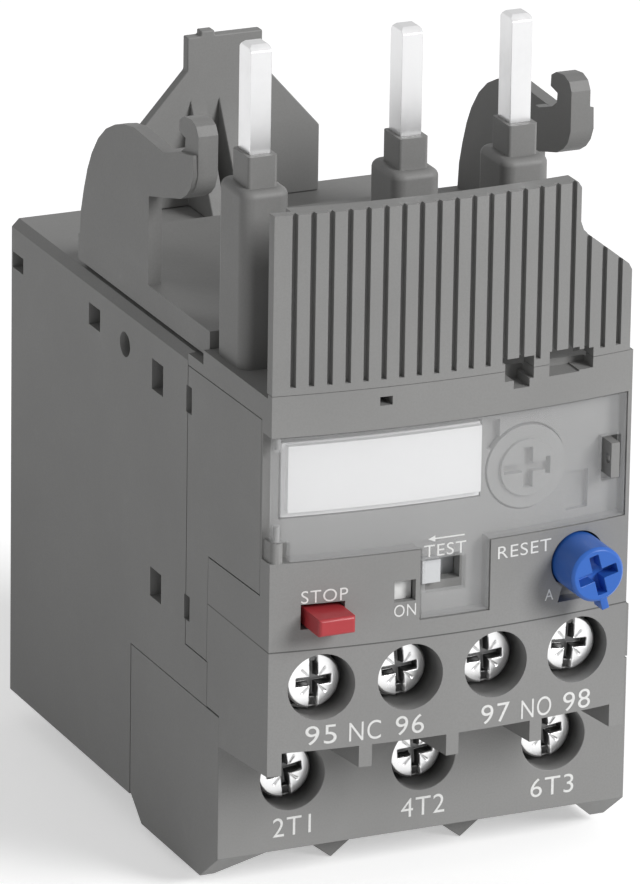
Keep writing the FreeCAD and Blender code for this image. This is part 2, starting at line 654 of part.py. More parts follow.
def reset_knob():
    front = bow_y(reset_x) - knob_out
    body = rod_y(reset_x, reset_z, knob_r, front, y_crown + 4.5)
    body = bevel_edges(body, 0.3, lambda e: abs(e.BoundBox.YMax - front) < 1e-4)
    x, z = reset_x, reset_z
    nib = box(x - 0.4, x + 0.4, front + 0.15, front + 2.0, z - knob_r - 1.0, z - knob_r + 0.6)
    arms = [box(x - 0.5, x + 0.5, front - 1, front + 1.6, z - 2.1, z + 2.1),
            box(x - 2.1, x + 2.1, front - 1, front + 1.6, z - 0.5, z + 0.5)]
    body = cut(fuse([body, nib]), arms + [rod_y(x, z, 1.5 + run_fit, y_crown - 0.1, y_plate)])
    body.rotate(FreeCAD.Vector(x, 0, z), FreeCAD.Vector(0, 1, 0), -15)
    return body


def test_slider():
    z0 = z_seam + 5.15
    cap = box(test_x, test_x + 2.0, bow_y(test_x + 1, 1.0), y_crown + 4.4, z0, z0 + 2.4)
    flange = box(test_x - 1.7, test_x + 4.8, y_crown + 4.0, y_crown + 5.0, z0 - 1.05, z0 + 3.35)
    return fuse([cap, flange])


def setting_dial():
    front = bow_y(dial_x, 1.35)
    x, z = dial_x, dial_z
    parts = [rod_y(x, z, dial_r, front + 0.35, front + 1.2), rod_y(x, z, 2.95, front, front + 1.0),
             rod_y(x, z, 1.6, front + 1.0, y_crown + 8.2), rod_y(x + 0.5, z, 1.0, y_crown + 8.1, y_crown + 10.4)]
    arms = [box(x - 0.5, x + 0.5, front - 1, front + 0.8, z - 2.1, z + 2.1),
            box(x - 2.6, x + 2.2, front - 1, front + 0.8, z - 0.45, z + 0.45),
            box(x + 1.9, x + 2.4, front - 1, front + 0.8, z - 0.9, z + 0.9)]
    return cut(fuse(parts), arms)


def label_plate():
    top = bowed_plate(label_x0, label_x1, z_cover_low + 4.6, z_cover_low + 11.5, 1.25, 0.7)
    base = bowed_plate(label_x0 - 0.4, label_x1 + 0.1, z_cover_low + 4.0, z_cover_low + 11.7, 1.9, 0.7)
    return fuse([top, base])


def hinge_y():
    return bow_y(hinge_x) + hinge_r


def window_cover():
    y0, y1 = y_crown - 1, y_crown + 4
    sheet = bowed_plate(hinge_x, block_right - 0.6, z_cover_low, z_cover_top, 0.0, window_thick)
    tongue = bowed_plate(tongue_x0, tongue_x1, z_tongue, z_cover_low + 1, 0.0, window_thick)
    barrel = rod_z(hinge_x, hinge_y(), hinge_r, z_knuckle, z_cover_top)
    peg_r = 0.3 + run_fit
    tools = [
        box(hinge_x - 1, hinge_x + 1.15, y0, y1, z_cover_low - 1, z_knuckle),
        rod_z(hinge_x, hinge_y(), peg_r, z_knuckle - 1, z_knuckle + 1.7),
        rod_z(hinge_x, hinge_y(), peg_r, z_cover_top - 1.5, z_cover_top + 1),
        box(test_x - 0.1, test_x + 4.2, y0, y1, z_seam + 4.6, z_seam + 8.1),
        box(lug_x - 1.2, lug_x + 1.0, y0, y1, dial_z - 2.3, dial_z + 2.3)]
    return cut(fuse([sheet, tongue, barrel]), tools)


def hinge_pegs():
    # knuckle at the lower corner of the window with its peg, and a peg at the top
    y, z0, z1 = hinge_y(), z_cover_low - 0.5, z_knuckle - gap
    knuckle = rod_z(hinge_x, y, hinge_r, z0, z1)
    web = box(hinge_x - hinge_r, hinge_x + hinge_r, y, y_crown + 3.7, z0, z1)
    return [knuckle, web, rod_z(hinge_x, y, 0.3, z_knuckle - 0.5, z_knuckle + 1.5),
            rod_z(hinge_x, y, 0.3, z_cover_top - 1.2, z_cover_top + 0.6)]


def seal_lug():
    # eye through which a sealing wire passes when the cover is shut
    front = bow_y(lug_x) - 0.9
    lug = box(lug_x - 0.5, lug_x + 0.4, front, bow_y(lug_x, window_deep + 0.6), dial_z - 1.8, dial_z + 1.8)
    return lug.cut(rod_x(front + 0.8, dial_z, 0.5, lug_x - 1, lug_x + 1))


# ---- screws and clamps ----
def recess(x, z, y, r):
    # combined slot and cross recess in the head
    arm = r * 0.66
    return [box(x - 0.36, x + 0.36, y - 1, y + 1.3, z - arm, z + arm),
            box(x - arm, x + arm, y - 1, y + 1.3, z - 0.36, z + 0.36),
            box(x - r - 1, x + r + 1, y - 1, y + 0.75, z - 0.36, z + 0.36)]


def terminal_screw(x, z, y_head, head_r, head_h, shank_r, y_tip):
    head = rod_y(x, z, head_r, y_head, y_head + head_h)
    head = bevel_edges(head, 0.35, lambda e: abs(e.BoundBox.YMax - y_head) < 1e-4)
    body = fuse([head, rod_y(x, z, shank_r, y_head + head_h, y_tip)])
    return cut(body, recess(x, z, y_head, head_r))


def box_clamp(x, z, y0, plate, y_rear, rear, half_in, side, half_h, bore_r):
    # box clamp: threaded front wall, two cheeks and a rear jaw
    outer = box(x - half_in - side, x + half_in + side, y0, y_rear + rear, z - half_h, z + half_h)
    hole = box(x - half_in, x + half_in, y0 + plate, y_rear, z - half_h - 1, z + half_h + 1)
    return cut(outer, [hole, rod_y(x, z, bore_r, y0 - 1, y0 + plate + 1)])


def main_screw(i):
    return terminal_screw(phase_x[i], main_z, y_plate + 2.0, main_head_r, 2.4, main_shank_r, y_plate + 12.95)


def main_clamp(i):
    y0 = y_plate + 6.4 + main_travel
    return box_clamp(phase_x[i], main_z, y0, 2.6, y_foot - 3.3, 1.3, 3.3, 0.9, 3.9, main_shank_r + run_fit)


def aux_screw(i):
    return terminal_screw(aux_x[i], aux_z, y_plate - 10.7, aux_head_r, 1.9, aux_shank_r, y_plate - 4.45)


def aux_clamp(i):
    y0 = y_plate - 8.5 + aux_travel
    return box_clamp(aux_x[i], aux_z, y0, 1.8, y_plate + 0.1, 1.0, aux_half - 0.95, 0.7, 2.9,
                     aux_shank_r + run_fit)


def build():
    parts = {
        "rear_housing": rear_housing(), "terminal_housing": terminal_housing(),
        "front_housing": front_housing(), "side_cover": side_cover(), "rib_shield": rib_shield(),
        "hook_bracket": hook_bracket(), "latch_tower": latch_tower(), "pin_carrier": pin_carrier(),
        "push_slide": trip_slide(0), "hold_slide": trip_slide(1), "trip_lever": trip_lever(),
        "compensator": compensator(), "contact_carrier": contact_carrier(),
        "nc_bridge": bridge(aux_x[0], aux_x[1], True), "no_bridge": bridge(aux_x[2], aux_x[3], False),
        "trip_flag": trip_flag(), "stop_button": stop_button(), "stop_spring": stop_spring(),
        "reset_plunger": reset_plunger(), "reset_spring": reset_spring(), "reset_knob": reset_knob(),
        "test_slider": test_slider(), "setting_dial": setting_dial(), "label_plate": label_plate(),
        "window_cover": window_cover()}
    for i in range(3):
        n = str(i + 1)
        parts["plug_pin_" + n] = plug_pin(i)
        parts["bimetal_" + n] = bimetal(i)
        parts["heater_" + n] = heater(i)
        parts["main_rail_" + n] = main_rail(i)
        parts["main_clamp_" + n] = main_clamp(i)
        parts["main_screw_" + n] = main_screw(i)
    for i, n in enumerate(aux_names):
        parts["aux_rail_" + n] = aux_rail(i)
        parts["aux_clamp_" + n] = aux_clamp(i)
        parts["aux_screw_" + n] = aux_screw(i)
    return parts


os.makedirs("parts", exist_ok=True)
for node, shape in build().items():
    shape.exportStep("parts/" + node + ".step")
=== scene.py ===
import json
import math

import bmesh
import bpy
import numpy as np
from mathutils import Matrix, Vector

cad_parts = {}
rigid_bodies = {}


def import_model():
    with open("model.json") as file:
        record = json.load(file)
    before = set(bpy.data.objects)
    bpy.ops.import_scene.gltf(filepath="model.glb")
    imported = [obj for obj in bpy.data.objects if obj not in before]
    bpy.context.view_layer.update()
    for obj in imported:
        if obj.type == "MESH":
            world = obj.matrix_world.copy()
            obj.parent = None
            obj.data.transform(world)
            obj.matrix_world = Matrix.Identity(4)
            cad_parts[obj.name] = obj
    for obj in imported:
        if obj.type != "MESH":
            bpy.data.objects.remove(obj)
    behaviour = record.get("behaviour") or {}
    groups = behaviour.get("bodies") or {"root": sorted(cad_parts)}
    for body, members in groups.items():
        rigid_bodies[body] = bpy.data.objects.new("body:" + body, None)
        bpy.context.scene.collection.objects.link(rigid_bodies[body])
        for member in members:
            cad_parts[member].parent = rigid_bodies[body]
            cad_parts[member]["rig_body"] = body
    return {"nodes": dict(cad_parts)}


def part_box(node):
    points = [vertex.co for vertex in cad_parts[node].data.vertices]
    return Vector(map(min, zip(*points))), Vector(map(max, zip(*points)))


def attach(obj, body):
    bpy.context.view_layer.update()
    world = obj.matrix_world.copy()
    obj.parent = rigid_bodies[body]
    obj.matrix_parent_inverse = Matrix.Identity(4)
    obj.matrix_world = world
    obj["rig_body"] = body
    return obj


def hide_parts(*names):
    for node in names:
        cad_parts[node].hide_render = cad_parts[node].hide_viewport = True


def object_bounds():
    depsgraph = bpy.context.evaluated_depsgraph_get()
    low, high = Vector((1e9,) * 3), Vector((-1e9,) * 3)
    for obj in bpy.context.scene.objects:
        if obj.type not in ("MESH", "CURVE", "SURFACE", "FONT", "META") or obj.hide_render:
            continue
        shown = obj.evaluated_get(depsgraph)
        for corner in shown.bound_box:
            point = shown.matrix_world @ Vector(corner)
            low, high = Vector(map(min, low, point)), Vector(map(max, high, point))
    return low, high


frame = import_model()
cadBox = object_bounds()
nodes = frame["nodes"]
scene = bpy.context.scene
scene.view_settings.view_transform = "Standard"
print("frame loaded:", len(nodes), "nodes")

mm = 0.001
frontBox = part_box("front_housing")
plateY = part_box("terminal_housing")[0].y
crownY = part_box("rib_shield")[0].y
windowGap = 0.6 * mm     # from the window's right edge to the end of the front
crownX = (frontBox[0].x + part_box("window_cover")[1].x + windowGap) / 2
bow = {"radius": 118 * mm}     # bow of the front about an upright axis


def bowDepth(x):
    # y = crown + R - sqrt(R^2 - (x - middle)^2)
    return crownY + bow["radius"] - np.sqrt(bow["radius"] ** 2 - (x - crownX) ** 2)


class Port:
    # a socket that adds Math nodes when it is used in an expression
    def __init__(self, tree, socket):
        self.tree = tree
        self.socket = socket

    def calc(self, op, *terms):
        node = self.tree.nodes.new("ShaderNodeMath")
        node.operation = op
        for i, term in enumerate(terms):
            if isinstance(term, Port):
                self.tree.links.new(term.socket, node.inputs[i])
            else:
                node.inputs[i].default_value = term
        return Port(self.tree, node.outputs[0])

    def __add__(self, other):
        return self.calc("ADD", self, other)

    def __radd__(self, other):
        return self.calc("ADD", other, self)

    def __sub__(self, other):
        return self.calc("SUBTRACT", self, other)

    def __rsub__(self, other):
        return self.calc("SUBTRACT", other, self)

    def __mul__(self, other):
        return self.calc("MULTIPLY", self, other)

    def __rmul__(self, other):
        return self.calc("MULTIPLY", other, self)

    def __pow__(self, other):
        return self.calc("POWER", self, other)

    def __gt__(self, other):
        return self.calc("GREATER_THAN", self, other)

    def __lt__(self, other):
        return self.calc("LESS_THAN", self, other)

    def __abs__(self):
        return self.calc("ABSOLUTE", self)

    def clamp(self):
        return self.calc("MINIMUM", self.calc("MAXIMUM", self, 0.0), 1.0)


class NodeTree:
    # one shader tree: add() makes any node and sets its sockets by name
    def __init__(self, owner):
        owner.use_nodes = True
        self.tree = owner.node_tree
        self.tree.nodes.clear()

    def add(self, kind, settings=None, output=0, **sockets):
        node = self.tree.nodes.new("ShaderNode" + kind)
        for key, value in (settings or {}).items():
            setattr(node, key, value)
        for key, value in sockets.items():
            self.plug(node, key.replace("_", " "), value)
        return Port(self.tree, node.outputs[output]) if node.outputs else None

    def plug(self, node, name, value):
        # a name such as i6 picks the socket by its number
        numbered = name[0] == "i" and name[1:].isdigit()
        socket = node.inputs[int(name[1:]) if numbered else name]
        if isinstance(value, Port):
            self.tree.links.new(value.socket, socket)
        else:
            socket.default_value = value

    def backdropSeen(self):
        # 1 for camera, glossy and transmission rays
        rays = ("Is Camera Ray", "Is Glossy Ray", "Is Transmission Ray")
        camera, glossy, through = (self.add("LightPath", output=ray) for ray in rays)
        return (camera + glossy + through).clamp()


class Finish(NodeTree):
    # one material with a Principled shader and the patterns that feed it
    def __init__(self, name):
        self.material = bpy.data.materials.new(name)
        super().__init__(self.material)
        surface = self.add("BsdfPrincipled")
        self.shader = surface.socket.node
        self.add("OutputMaterial", Surface=surface)

    def set(self, **sockets):
        for key, value in sockets.items():
            self.plug(self.shader, key.replace("_", " "), value)

    def here(self, scale=(1, 1, 1)):
        place = self.add("TexCoord", output="Object")
        return self.add("Mapping", Vector=place, Scale=scale)

    def axes(self):
        # the object's x, y and z as three values
        place = self.add("TexCoord", output="Object")
        return [self.add("SeparateXYZ", output=i, Vector=place) for i in range(3)]

    def noise(self, scale, detail=2.0, rough=0.5, where=None):
        where = where or self.here()
        return self.add("TexNoise", Vector=where, Scale=scale, Detail=detail, Roughness=rough)

    def blend(self, factor, a, b):
        # mixes two colours, the second where factor is 1
        return self.add("Mix", {"data_type": "RGBA"}, output=2, i0=factor, i6=a, i7=b)

    def relief(self, height, depth, strength):
        return self.add("Bump", Height=height, Distance=depth, Strength=strength)


def bowPort(x):
    # y = crown + R - sqrt(R^2 - (x - middle)^2), as nodes
    off = x - float(crownX)
    return float(crownY) + bow["radius"] - (bow["radius"] ** 2 - off * off) ** 0.5


def tint(color, factor):
    return (color[0] * factor, color[1] * factor, color[2] * factor, 1.0)


# painted shade inside the terminal holes: where it starts behind the face, how deep it fades, how much,
# how dark
wellShade = {"rim": 0.12 * mm, "fade": 1.6 * mm, "amount": 0.8, "tone": 0.3}
seam = {"half": 0.07 * mm, "amount": 0.8, "tone": 0.2}


def paintWellShade(f, tone, look, place):
    # painted shade: terminal holes darken from the rim inwards, inside the box x0, x1, z0, z1
    x, y, z = place
    x0, x1, z0, z1 = (edge * mm for edge in look["well"])
    inside = (x > x0) * (x1 > x) * (z > z0) * (z1 > z)
    face = bowPort(x) if look.get("bowed") else plateY
    deep = ((y - face - wellShade["rim"]) * (1 / wellShade["fade"])).clamp()
    return f.blend(inside * deep * wellShade["amount"], tone, tint(look["color"], wellShade["tone"]))


def partingLine(f, tone, look, z):
    # fine parting line round the front
    line = (abs(z - look["seam"] * mm) < seam["half"]) * seam["amount"]
    return f.blend(line, tone, tint(look["color"], seam["tone"]))


# noise scales of moulded plastic, then how much each pattern does
mould = {"cloud": 55.0, "grain": 5200.0, "pits": 1900.0, "rub": 310.0, "spread": 0.05,
         "speckle": 0.3, "speckleTone": 0.86, "pitRough": 0.12, "rubShine": 0.05,
         "relief": 0.02 * mm, "ior": 1.49, "gloss": 0.35, "coatRough": 0.12}


def plastic(name, look):
    # moulded plastic: cloudy tone, fine eroded grain, a few rubbed spots
    f = Finish(name)
    place = f.axes()
    cloud = f.noise(mould["cloud"], 3.0)
    grain = f.noise(look.get("grain", mould["grain"]), 2.0, 0.6)
    pits = f.noise(mould["pits"], 3.0, 0.6)
    rub = ((f.noise(mould["rub"], 4.0, 0.7) - 0.55) * 6.0).clamp()
    spread = look.get("spread", mould["spread"])
    dark, pale = tint(look["color"], 1 - spread), tint(look["color"], 1 + spread)
    tone = f.blend((cloud - 0.35) * 3.0, dark, pale)
    speckle = ((grain - 0.42) * 5.0).clamp() * look.get("speckle", mould["speckle"])
    tone = f.blend(speckle, tone, tint(look["color"], mould["speckleTone"]))
    # painted shade in the terminal holes
    if "well" in look:
        tone = paintWellShade(f, tone, look, place)
    if "seam" in look:
        tone = partingLine(f, tone, look, place[2])
    rough = look["rough"] + (pits - 0.5) * mould["pitRough"] - rub * mould["rubShine"]
    f.set(Base_Color=tone, Roughness=rough,
          Normal=f.relief(grain * 0.7 + pits * 0.5, mould["relief"], look["bump"]),
          IOR=mould["ior"], Specular_IOR_Level=mould["gloss"])
    if "coat" in look:
        f.set(Coat_Weight=look["coat"], Coat_Roughness=mould["coatRough"])
    return f.material


# noise scales of plated or rolled metal, then how much each pattern does, and the colour of the painted
# shade in recesses
rolled = {"lines": 2600.0, "stain": 230.0, "stained": 0.6, "dark": 0.82, "bump": 0.35,
          "lineRough": 0.16, "stainRough": 0.05, "relief": 0.012 * mm, "grime": (0.13, 0.13, 0.13, 1)}


def metal(name, look):
    # plated or rolled metal: drawn lines along one axis, faint stains
    f = Finish(name)
    lines = f.noise(rolled["lines"], 3.0, 0.7, f.here(scale=look["stretch"]))
    stain = f.noise(rolled["stain"], 4.0, 0.65)
    worn = ((stain - 0.5) * 4.0).clamp()
    dark = tint(look["color"], look.get("dark", rolled["dark"]))
    tone = f.blend(worn * rolled["stained"], tint(look["color"], 1.0), dark)
    if "shade" in look:
        # painted shade in the recesses of the head
        deep = f.add("Attribute", {"attribute_name": look["shade"]}, output="Fac")
        tone = f.blend(deep, tone, rolled["grime"])
    rough = look["rough"] + (lines - 0.5) * rolled["lineRough"] + worn * rolled["stainRough"]
    f.set(Base_Color=tone, Metallic=1.0, Roughness=rough,
          Normal=f.relief(lines, rolled["relief"], look.get("bump", rolled["bump"])))
    return f.material


def clearSheet(name, look):
    # clear window: mostly see-through, with a gloss that grows at a glancing angle
    f = Finish(name)
    facing = f.add("LayerWeight", output="Facing", Blend=look["glance"])
    smear = f.noise(look["smear"], 4.0, 0.6)
    wave = f.noise(look["wave"], 2.0)
    tone = f.blend((smear - 0.3) * 1.2, tint(look["color"], 0.96), tint(look["color"], 1.03))
    f.set(Base_Color=tone, Roughness=look["rough"] + smear * look["smearRough"],
          Alpha=(look["body"] + facing * look["edge"] + smear * look["smearCloud"]).clamp(),
          Normal=f.relief(wave, look["relief"], look["bump"]), IOR=look["ior"])
    return f.material


moulded = {"color": (0.258, 0.257, 0.253), "rough": 0.55, "bump": 0.5}
looks = {
    "housing": moulded,
    # well: box of the terminal holes that get painted shade
    "front": {**moulded, "bowed": True, "seam": 30.5, "well": (-21.4, 15.2, 22.9, 30.15)},
    "foot": {**moulded, "well": (-19.0, 19.0, 8.3, 15.7)},
    "deck": {"color": (0.228, 0.227, 0.223), "rough": 0.52, "bump": 0.5},
    "legend": {"color": (0.90, 0.90, 0.905), "rough": 0.5, "bump": 0.15,
               "speckle": 0.05, "spread": 0.015},
    "red": {"color": (0.42, 0.04, 0.048), "rough": 0.42, "bump": 0.15, "speckle": 0.08, "coat": 0.1},
    "blue": {"color": (0.03, 0.135, 0.52), "rough": 0.36, "bump": 0.15, "speckle": 0.08, "coat": 0.1},
    "white": {"color": (0.60, 0.61, 0.62), "rough": 0.42, "bump": 0.15,
              "speckle": 0.05, "spread": 0.02},
    "flag": {"color": (0.80, 0.80, 0.79), "rough": 0.5, "bump": 0.6,
             "speckle": 0.6, "grain": 1500.0},
    "dial": {"color": (0.285, 0.285, 0.28), "rough": 0.42, "bump": 0.3},
    "print": {"color": (0.76, 0.76, 0.75), "rough": 0.6, "bump": 0.4,
              "speckle": 0.5, "grain": 3800.0},
    "slide": {"color": (0.55, 0.52, 0.46), "rough": 0.5, "bump": 0.3}}
metals = {
    "pin": {"color": (0.78, 0.78, 0.785), "rough": 0.34, "stretch": (1, 1, 0.05),
            "bump": 0.15, "dark": 0.93},
    "screw": {"color": (0.95, 0.95, 0.95), "rough": 0.3, "stretch": (1, 0.2, 1),
              "bump": 0.0, "dark": 0.95, "shade": "sunk"},
    "zinc": {"color": (0.72, 0.74, 0.76), "rough": 0.34, "stretch": (1, 1, 1)},
    "brass": {"color": (0.78, 0.60, 0.30), "rough": 0.3, "stretch": (0.1, 1, 1)},
    "strip": {"color": (0.62, 0.60, 0.57), "rough": 0.32, "stretch": (1, 1, 0.04)},
    "ribbon": {"color": (0.42, 0.38, 0.34), "rough": 0.4, "stretch": (1, 0.05, 1)}}
window = {"color": (0.82, 0.825, 0.83), "rough": 0.12, "body": 0.13, "edge": 0.12, "glance": 0.35,
          "smear": 120.0, "smearRough": 0.06, "smearCloud": 0.03, "wave": 420.0,
          "relief": 0.015 * mm, "bump": 0.25, "ior": 1.58}
finish = {key: plastic(key + "_plastic", look) for key, look in looks.items()}
finish.update({key: metal(key + "_metal", look) for key, look in metals.items()})
finish["clear"] = clearSheet("clear_window", window)
print("finishes made:", len(finish))


# finish of every carried-over node
nodeFinish = {
    "side_cover": "housing", "latch_tower": "housing", "label_plate": "legend", "setting_dial": "dial",
    "stop_button": "red", "reset_knob": "blue", "reset_plunger": "slide", "test_slider": "white",
    "trip_flag": "flag", "push_slide": "slide", "hold_slide": "slide", "trip_lever": "slide",
    "compensator": "strip", "contact_carrier": "slide", "nc_bridge": "brass", "no_bridge": "brass",
    "stop_spring": "strip", "reset_spring": "strip", "window_cover": "clear", "rear_housing": "housing",
    "terminal_housing": "foot", "front_housing": "front", "rib_shield": "housing", "hook_bracket": "deck",
    "pin_carrier": "deck"}
families = {
    "plug_pin": "pin", "bimetal": "strip", "heater": "ribbon", "main_rail": "pin", "main_clamp": "zinc",
    "main_screw": "screw", "aux_rail": "brass", "aux_clamp": "zinc", "aux_screw": "screw"}
for name, obj in nodes.items():
    key = nodeFinish.get(name) or families[name.rsplit("_", 1)[0]]
    obj.data.materials.clear()
    obj.data.materials.append(finish[key])


def standIn(mesh, suffix, name):
    # object that takes over a node's place and body
    obj = bpy.data.objects.new(name + suffix, mesh)
    scene.collection.objects.link(obj)
    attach(obj, nodes[name]["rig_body"])
    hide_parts(name)
    return obj


edging = {
    "merge": 2e-6, "flatAngle": 0.6, "sharpAngle": 32.0, "segments": 2, "faceWeight": 90,
    "width": {"rear_housing": 0.22, "terminal_housing": 0.15, "front_housing": 0.12, "side_cover": 0.08,
              "rib_shield": 0.10, "hook_bracket": 0.2, "latch_tower": 0.15, "pin_carrier": 0.12,
              "stop_button": 0.12, "reset_knob": 0.12, "test_slider": 0.08, "setting_dial": 0.07,
              "window_cover": 0.06, "label_plate": 0.05,
              "plug_pin_1": 0.08, "plug_pin_2": 0.08, "plug_pin_3": 0.08}}


def softened(name, width):
    # copy of a node: triangles merged, flat faces joined, a small radius on its edges
    work = bmesh.new()
    work.from_mesh(nodes[name].data)
    bmesh.ops.remove_doubles(work, verts=work.verts, dist=edging["merge"])
    flatAngle = math.radians(edging["flatAngle"])
    bmesh.ops.dissolve_limit(work, angle_limit=flatAngle, verts=work.verts, edges=work.edges)
    mesh = bpy.data.meshes.new(name + "_soft")
    work.to_mesh(mesh)
    work.free()
    mesh.shade_smooth()
    mesh.materials.clear()
    mesh.materials.append(nodes[name].data.materials[0])
    obj = standIn(mesh, "_soft", name)
    edge = obj.modifiers.new("edges", "BEVEL")
    edge.width = width
    edge.segments = edging["segments"]
    edge.limit_method = "ANGLE"
    edge.angle_limit = math.radians(edging["sharpAngle"])
    edge.use_clamp_overlap = True
    edge.miter_outer = "MITER_ARC"
    obj.modifiers.new("flat", "WEIGHTED_NORMAL").weight = edging["faceWeight"]


for name, width in edging["width"].items():
    softened(name, width * mm)
print("mouldings softened")


head = {
    "rings": 44, "steps": 144, "innerRing": 0.004, "ringCrowding": 0.9, "soft": 0.09 * mm,
    "crown": 0.14 * mm, "crownPower": 3, "rimWidth": 0.22 * mm,
    "crossHalf": 0.4 * mm, "crossReach": 0.64, "crossDeep": 1.15 * mm,
    "coreFlat": 0.5 * mm, "coreEnd": 0.95 * mm,
    "slotHalf": 0.38 * mm, "slotDeep": 0.6 * mm,
    "tickHalf": 0.05 * mm, "tickEdge": 0.11 * mm, "tickDeep": 0.16 * mm,
    "tickIn": (0.6 * mm, 0.8 * mm), "tickOut": (0.9, 1.05),
    "backBevel": 0.15 * mm, "neckGap": 0.02 * mm}
# painted shade in the recesses of the screw heads: full from this depth, kept off the rim and the shank
grime = {"fullDepth": 0.5 * mm, "cleanRim": 0.2 * mm, "headShare": 0.9}     # dark recesses
# edge of the head as pairs: in from its radius, down from the crown
rimCurve = ((0.12 * mm, 0.05 * mm), (0.03 * mm, 0.16 * mm), (0.0, 0.34 * mm))
thread = {"stepsPerTurn": 8, "root": 0.13, "deep": 0.12, "point": 0.25 * mm,
          "runIn": 0.06, "runOut": 0.93, "pointFrom": 0.95}
screws = {
    "main_screw_": {"headHigh": 2.4 * mm, "pitch": 0.7 * mm, "shank": 2.0 * mm,
                    "angles": {"1": 8.0, "2": 4.0, "3": 6.0}},
    "aux_screw_": {"headHigh": 1.9 * mm, "pitch": 0.6 * mm, "shank": 1.75 * mm,
                   "angles": {"95": 0.0, "96": 4.0, "97": 3.0, "98": -4.0}}}


def smoothStep(a, b, v):
    # 0 up to a, 1 past b, 3t^2 - 2t^3 between them
    t = np.clip((v - a) / (b - a), 0.0, 1.0)
    return t * t * (3 - 2 * t)


def groove(across, along, half, reach):
    # 1 inside a straight cut, with soft edges
    soft = head["soft"]
    return (1 - smoothStep(half - soft, half + soft, np.abs(across))) * (
        1 - smoothStep(reach - soft, reach + soft, np.abs(along)))


def headFace(u, v, r, headR):
    # depth behind the middle of the head: crown (r / R)^3 + the deepest of cross, core, slot and ticks
    reach = headR * head["crossReach"]
    cross = np.maximum(groove(u, v, head["crossHalf"], reach), groove(v, u, head["crossHalf"], reach))
    core = 1 - smoothStep(head["coreFlat"], head["coreEnd"], np.abs(u) + np.abs(v))
    diagonal = np.minimum(np.abs(u - v), np.abs(u + v)) / math.sqrt(2)
    tick = 1 - smoothStep(head["tickHalf"], head["tickEdge"], diagonal)
    tickEnd, tickGone = head["tickOut"]
    tick = tick * smoothStep(*head["tickIn"], r) * (1 - smoothStep(reach * tickEnd, reach * tickGone, r))
    slotCut = groove(u, v, head["slotHalf"], headR * 2)
    sunk = np.maximum(np.maximum(cross, core) * head["crossDeep"], slotCut * head["slotDeep"])
    sunk = np.maximum(sunk, tick * head["tickDeep"])
    return head["crown"] * (r / headR) ** head["crownPower"] + sunk, slotCut[-1]


def headRim(a, slotEnd, headR, kind):
    # a profile of radius and depth turned about the axis; the slot runs out through its upper part
    high = kind["headHigh"]
    curve = [[headR - inward, head["crown"] + down] for inward, down in rimCurve]
    bevel = head["backBevel"]
    curve += [[headR, high - bevel], [headR - bevel, high], [kind["shank"] + head["neckGap"], high]]
    radius, depth = np.array(curve).T[:, :, None]
    left = head["slotDeep"] - np.clip(depth - head["crown"], 0, None)
    depth = depth + slotEnd[None, :] * np.clip(left, 0, None)
    return np.stack([radius * np.cos(a), depth + 0 * a, radius * np.sin(a)], -1)


def threadRows(a, length, kind):
    # r = shank + pitch (deep saw(turns - angle / 2 pi) - root), pointed at the end
    pitch = kind["pitch"]
    s = np.linspace(0, 1, int(length / pitch * thread["stepsPerTurn"]))[:, None]
    saw = np.abs(((s * length / pitch - a / (2 * np.pi)) % 1.0) - 0.5) * 2
    taper = smoothStep(0, thread["runIn"], s) * (1 - smoothStep(thread["runOut"], 1.0, s))
    radius = kind["shank"] - thread["root"] * pitch + thread["deep"] * pitch * saw * taper
    radius = radius - thread["point"] * smoothStep(thread["pointFrom"], 1.0, s)
    depth = kind["headHigh"] + s * length + 0 * a
    return np.stack([radius * np.cos(a), depth, radius * np.sin(a)], -1)


def meshFromGrid(name, points, material):
    # points: rows x columns x 3, columns closed into a ring, first and last row closed by a cap
    rows, cols = points.shape[:2]
    ids = np.arange(rows * cols).reshape(rows, cols)
    after = np.roll(ids, -1, axis=1)
    quads = np.stack([ids[:-1], ids[1:], after[1:], after[:-1]], axis=-1).reshape(-1, 4)
    caps = [list(ids[0]), list(ids[-1][::-1])]
    mesh = bpy.data.meshes.new(name)
    mesh.from_pydata(points.reshape(-1, 3).tolist(), [], quads.tolist() + caps)
    mesh.materials.append(material)
    outward(mesh, merge=1e-7)
    mesh.shade_smooth()
    return mesh


def outward(mesh, merge=0.0):
    # doubles merged, then faces turned to point outwards
    work = bmesh.new()
    work.from_mesh(mesh)
    if merge:
        bmesh.ops.remove_doubles(work, verts=work.verts, dist=merge)
    bmesh.ops.recalc_face_normals(work, faces=work.faces)
    work.to_mesh(mesh)
    work.free()


def coordinates(mesh):
    flat = np.zeros(len(mesh.vertices) * 3)
    mesh.vertices.foreach_get("co", flat)
    return flat.reshape(-1, 3)


